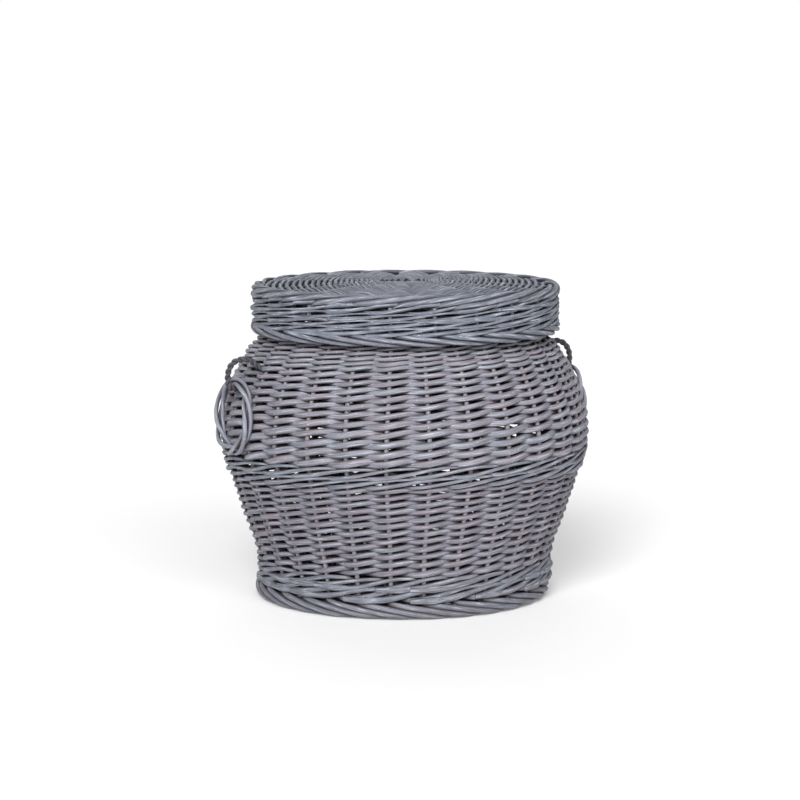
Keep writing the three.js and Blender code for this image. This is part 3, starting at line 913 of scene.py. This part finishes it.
def lid_shell():
    """Up the skirt, round the corner and in over the top; with the height of the top and the skirt's radius."""
    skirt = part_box("lid_siding")
    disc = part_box("lid_top_weave")
    middle = skirt[1].x - LID_INSET
    top = (disc[0].z + disc[1].z) / 2
    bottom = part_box("lid_border")[0].z
    heights = np.arange(bottom, top - LID_BEND, MM)
    turn = np.linspace(0, math.pi / 2, LID_BEND_STEPS)
    inward = np.arange(middle - LID_BEND - MM, LID_EYE, -MM)
    radii = np.concatenate([np.full(len(heights), middle), middle - LID_BEND + LID_BEND * np.cos(turn), inward])
    z = np.concatenate([heights, top - LID_BEND + LID_BEND * np.sin(turn), np.full(len(inward), top)])
    return Shell(radii, z, LID_RIBS, LID_RIB_RADIUS), top, middle


lid_surface, lid_top, lid_middle = lid_shell()


def lid_length(z):
    """Length along the lid's line at a height on its skirt."""
    return z - lid_surface.z[0]


def lid_skirt():
    rods = Rods("lid_skirt_rods", CLOSE_EDGE_SHADE)
    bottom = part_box("lid_siding")[0].z + SKIRT_START
    for i in range(SKIRT_ROUNDS):
        weave_round(rods, lid_surface, lid_length(bottom + i * SKIRT_PITCH), SKIRT_PITCH, SKIRT_ROD,
                    middle=0.0, period=3, lengths=(6, 12), rise=0.5, seed=9.0 + i, blunt=0.4, flat=0, snap=1.5,
                    taper=0.36)
    rods.piece("lid", "thick_rods", skirt_look, ["lid_siding"])


def lid_rim():
    """A round of wale under a border of rods that roll up over the edge."""
    rods = Rods("lid_rim_rods", CLOSE_EDGE_SHADE)
    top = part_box("lid_rim")[1].z
    weave_round(rods, lid_surface, lid_length(top - RIM_WALE_DROP), RIM_WALE_PITCH, RIM_WALE_ROD,
                middle=RIM_WALE_DEPTH, period=3, lengths=(4, 9), rise=0.3, seed=2.0, blunt=0.5, flat=0,
                snap=1.5, taper=0.2)
    core = (lid_middle + RIM_PROUD - RIM_ROLL[0], top + RIM_RISE - RIM_ROLL[1] - RIM_ROD)
    roll_border(rods, core, RIM_ROLL, RIM_ROD, LID_RIBS, RIM_TURNS, lead=0.3, down=-1, hidden=1)
    rods.piece("lid", "thick_rods", lid_look, ["lid_rim"])


def lid_border():
    rods = Rods("lid_border_rods", CLOSE_EDGE_SHADE)
    low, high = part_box("lid_border")
    roll = LID_BORDER_ROLL
    core = (high.x - roll[0] - LID_BORDER_ROD - LID_BORDER_INSET,
            low.z + roll[1] + LID_BORDER_ROD - LID_BORDER_DROP)
    roll_border(rods, core, roll, LID_BORDER_ROD, LID_RIBS, LID_BORDER_TURNS, lead=0.4)
    rods.piece("lid", "thick_rods", lid_look, ["lid_border"])


def lid_dome(radius):
    """Rise of the lid's top over the middle of its disc, at a distance from its axis."""
    return DOME_EDGE + (DOME_MIDDLE - DOME_EDGE) * (1 - (radius / lid_middle) ** 2)


def rib_tail(far):
    """The end of a lid rib, from where it bends at the disc's edge down inside the skirt."""
    direction = far / np.linalg.norm(far)
    corner = lid_top + DOME_EDGE - LID_BEND
    turn = np.linspace(0, math.pi / 2, RIB_BEND_STEPS)[1:]
    down = np.linspace(corner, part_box("lid_rib_01")[0].z, RIB_BEND_STEPS)[1:]
    r = np.concatenate([lid_middle - LID_BEND + LID_BEND * np.sin(turn), np.full(len(down), lid_middle)])
    z = np.concatenate([corner + LID_BEND * np.cos(turn), down])
    return np.stack([r * direction[0], r * direction[1], z], -1)


def lid_disc():
    """Rounds of weave over a low dome, of thicker rods and wider apart toward the edge."""
    edge = lid_middle - LID_BEND
    sticks = cross_sticks(LID_CROSS, edge)
    rods = Rods("lid_top_rods", LID_TOP_EDGE_SHADE)
    radius = edge - LID_EDGE_GAP
    while radius > LID_INNER_ROUND:
        pitch = LID_INNER_PITCH + LID_PITCH_GROWTH * radius / lid_middle
        disc_round(rods, spoke_angles(sticks, radius), radius, lid_top + lid_dome(radius), pitch,
                   LID_TOP_FILL * pitch, LID_RIB_RADIUS)
        radius -= pitch
    rods.piece("lid", "weave", lid_look, ["lid_top_weave"])
    for i, stick in enumerate(sticks):
        stick_rod(f"lid_stick_{i + 1:02d}", f"lid_rib_{i + 1:02d}", "lid", stick, lid_top, LID_RIB_RADIUS,
                  rib_tail, lid_dome)


# Handles. Three rods twist round each other in a ring, and are looser away from its top, where the loop holds
# them tight. They lie within a tube.

RING_TUBE = 5.8 * MM
RING_STEPS = 160
RING_RODS = 3
RING_LAYS = 2
RING_LOOSE = 1.1 * MM
RING_TIGHT = 0.2
RING_OPENED = 0.7
RING_INWARD = 0.6
RING_START = 0.6
RING_UNEVEN = 0.4

# The cord of two strands, its play round the ring, and its way through the wall, as in the CAD
CORD_RADIUS = 3.5 * MM
STRAND_RADIUS = 2.2 * MM
STRAND_OFFSET = 1.7 * MM
STRAND_LAY = 14 * MM
LOOP_STEPS = 260
LOOP_PLAY = 0.9 * MM
LOOP_RISE = 26 * MM
LOOP_SPREAD = 14 * MM
LOOP_HOLE = 0.62
WALL_THICKNESS = 18 * MM

# Its strands turn round a direction that it never runs along
LOOP_ASIDE = np.array([0, 1, 0.2])


def ring(side, sign):
    """A ring handle that leans on the wall. The sign is that of its side on X."""
    node = f"ring_{side}"
    low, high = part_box(node)
    big = (high.y - low.y) / 2 - RING_TUBE
    lean = math.asin((high.x - low.x - 2 * RING_TUBE) / (2 * big))
    across = np.array([0, 1, 0])
    down = np.array([-math.sin(lean), 0, math.cos(lean)])
    axis = np.array([math.cos(lean), 0, math.sin(lean)])
    u = np.arange(RING_STEPS) * TURN / RING_STEPS
    around = np.outer(np.sin(u), across) + np.outer(np.cos(u), down)
    loose = np.interp(np.minimum(u, TURN - u), [RING_TIGHT, RING_OPENED], [0, RING_LOOSE])
    offset = RING_TUBE - RING_ROD + loose
    rods = Rods(f"{side}_ring_rods", RING_EDGE_SHADE)
    for k in range(RING_RODS):
        twist = k * TURN / RING_RODS + RING_LAYS * u + RING_UNEVEN * np.sin(2 * u + k) + RING_START
        radial = big + offset * np.cos(twist) - loose * RING_INWARD
        points = around * radial[:, None] + np.outer(offset * np.sin(twist), axis)
        points = points * [sign, 1, 1] + [(low.x + high.x) / 2, 0, (low.z + high.z) / 2]
        out = around * np.cos(twist)[:, None] + np.outer(np.sin(twist), axis)
        rods.add(points, RING_ROD, out * [sign, 1, 1], closed=True)
    rods.piece(f"{side}_ring", "ring", ring_look, [node])


def smooth_loop(points, steps):
    """A closed curve through the points, at an even step of length, and its length."""
    points = np.asarray(points, float)
    before, after, next_after = (np.roll(points, shift, 0) for shift in (1, -1, -2))
    t = np.linspace(0, 1, LOOP_CURVE_STEPS, endpoint=False)[:, None, None]
    curve = 0.5 * (2 * points + (after - before) * t + (2 * before - 5 * points + 4 * after - next_after) * t**2
                   + (3 * points - before - 3 * after + next_after) * t**3)
    curve = curve.transpose(1, 0, 2).reshape(-1, 3)
    closed = np.vstack([curve, curve[:1]])
    length = lengths_along(closed)
    even = np.linspace(0, length[-1], steps, endpoint=False)
    return np.stack([np.interp(even, length, closed[:, i]) for i in range(3)], -1), length[-1]


def wall_point(z, depth, across):
    """A point of the wall beside the handle at +X, at a distance across it."""
    normal_r = float(np.interp(wall.length_at_height(z), wall.s, wall.normal_r))
    r = float(np.interp(z, wall.z, wall.r)) - depth / normal_r
    return (math.sqrt(r * r - across * across), across, z)


def rope_loop(side, sign):
    """Dark cord of two strands, which goes out through the wall above the ring and back in below it. The
    ring hangs at the top of its middle line."""
    ring_low, ring_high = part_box("ring_right")
    hinge_x, hinge_z = ring_low.x + RING_TUBE, ring_high.z - RING_TUBE
    reach = RING_TUBE + CORD_RADIUS + LOOP_PLAY
    rise, spread = LOOP_RISE, LOOP_SPREAD
    below = hinge_z - reach
    upper = hinge_z + LOOP_HOLE * rise
    inset = WALL_THICKNESS + CORD_RADIUS + LOOP_PLAY
    # From under the ring in through the wall, up inside it, out above and over the ring, with shares that were
    # read
    points = [
        (hinge_x, -CORD_RADIUS / 2, below),
        wall_point(below, 0, -CORD_RADIUS),
        wall_point(below, WALL_THICKNESS / 2, -CORD_RADIUS),
        wall_point(below, inset, 0),
        wall_point((below + upper) / 2, inset + CORD_RADIUS, spread / 2),
        wall_point(upper, inset, spread - CORD_RADIUS),
        wall_point(upper, WALL_THICKNESS / 2, spread),
        wall_point(upper, 0, spread),
        (hinge_x - 0.55 * rise, 0.74 * spread, hinge_z + 0.97 * rise),
        (hinge_x - 0.1 * rise, 0.4 * spread, hinge_z + rise),
        (hinge_x + 0.5 * reach, 0.12 * spread, hinge_z + 0.82 * rise),
        (hinge_x + 0.96 * reach, 0, hinge_z + 0.45 * rise),
        (hinge_x + 1.03 * reach, 0, hinge_z),
        (hinge_x + 0.75 * reach, 0, hinge_z - 0.75 * reach),
    ]
    path, length = smooth_loop(points, LOOP_STEPS)
    path[:, :2] *= sign
    tangent = unit(np.roll(path, -1, 0) - np.roll(path, 1, 0))
    across = unit(np.cross(tangent, LOOP_ASIDE * [1, sign, 1]))
    other = np.cross(tangent, across)
    lays = round(length / STRAND_LAY)
    rods = Rods(f"{side}_loop_cord")
    for strand in range(2):
        twist = (np.arange(LOOP_STEPS) / LOOP_STEPS * lays + strand / 2) * TURN
        offset = across * np.cos(twist)[:, None] + other * np.sin(twist)[:, None]
        rods.add(path + offset * STRAND_OFFSET, STRAND_RADIUS, offset, closed=True)
    rods.piece("basket", "rope", rope_look, [f"loop_{side}"])


# Staging

WHITE = (1, 1, 1, 1)
AMBIENT = 0.25
FLOOR_HALF = 60
FLOOR_DROP = 0.4 * MM
FLOOR_LOOK = {
    "Base Color": (0.9, 0.9, 0.9, 1),
    "Roughness": 0.9,
    "Emission Color": WHITE,
    "Emission Strength": 0.12,
}

# Soft suns: azimuth from the front, as the camera's is, elevation and width in degrees, and strength
LIGHTS = (
    ("key", -38, 32, 24, 2.8),
    ("fill", -5, 28, 40, 1.3),
    ("back", 160, 35, 60, 0.7),
)

# The photograph's view, solved from the basket's ellipses, with its angles in degrees and its lens in
# millimetres. The camera is swung a hair, so that it is aimed beside the axis.
CAMERA_DISTANCE = 3.4
CAMERA_HEIGHT = 0.686
CAMERA_AZIMUTH = -27
CAMERA_PITCH = 7.424
CAMERA_SWING = 0.084
CAMERA_LENS = 123.2
CAMERA_SENSOR = 36


def placed(name, data):
    thing = bpy.data.objects.new(name, data)
    bpy.context.scene.collection.objects.link(thing)
    return thing


def world():
    """Dim white light from all round, under a background that is seen as plain white."""
    studio = bpy.data.worlds.new("studio")
    bpy.context.scene.world = studio
    studio.use_nodes = True
    tree = studio.node_tree
    dim = tree.nodes["Background"]
    dim.inputs["Color"].default_value = WHITE
    dim.inputs["Strength"].default_value = AMBIENT
    white = tree.nodes.new("ShaderNodeBackground")
    white.inputs["Color"].default_value = WHITE
    seen = tree.nodes.new("ShaderNodeLightPath")
    mix = tree.nodes.new("ShaderNodeMixShader")
    link(tree, seen, "Is Camera Ray", mix, "Fac")
    link(tree, dim, "Background", mix, 1)
    link(tree, white, "Background", mix, 2)
    link(tree, mix, "Shader", tree.nodes["World Output"], "Surface")


def ground():
    mesh = bpy.data.meshes.new("floor")
    corners = [(x * FLOOR_HALF, y * FLOOR_HALF, 0) for x, y in ((-1, -1), (1, -1), (1, 1), (-1, 1))]
    mesh.from_pydata(corners, [], [(0, 1, 2, 3)])
    floor = placed("floor", mesh)
    floor.location.z = -FLOOR_DROP
    plain = bpy.data.materials.new("floor")
    plain.use_nodes = True
    for socket, value in FLOOR_LOOK.items():
        plain.node_tree.nodes["Principled BSDF"].inputs[socket].default_value = value
    mesh.materials.append(plain)


def suns():
    for name, azimuth, elevation, width, strength in LIGHTS:
        sun = bpy.data.lights.new(name, "SUN")
        sun.angle = math.radians(width)
        sun.energy = strength
        placed(name, sun).rotation_euler = (math.radians(90 - elevation), 0, math.radians(azimuth))


def camera():
    data = bpy.data.cameras.new("camera")
    data.sensor_width = CAMERA_SENSOR
    data.lens = CAMERA_LENS
    view = placed("camera", data)
    azimuth = math.radians(CAMERA_AZIMUTH)
    view.location = (math.sin(azimuth) * CAMERA_DISTANCE, -math.cos(azimuth) * CAMERA_DISTANCE, CAMERA_HEIGHT)
    view.rotation_euler = (math.radians(90 - CAMERA_PITCH), 0, azimuth + math.radians(CAMERA_SWING))
    bpy.context.scene.camera = view


bpy.context.scene.view_settings.view_transform = "Standard"
camera()
world()
ground()
suns()
foot()
waled_zone("upsett_rods", "upsett_wale", UPSETT_ROD, low_thick_look, blunt=0.9, lengths=(3, 6), lift=4 * MM)
lower_siding()
waled_zone("waist_rods", "waist_wale", WAIST_ROD, thick_look, proud=1 * MM, reach=3.5 * MM)
upper_siding()
mouth()
stakes()
base()
lid_skirt()
lid_rim()
lid_border()
lid_disc()
ring("right", 1)
ring("left", -1)
rope_loop("right", 1)
rope_loop("left", -1)
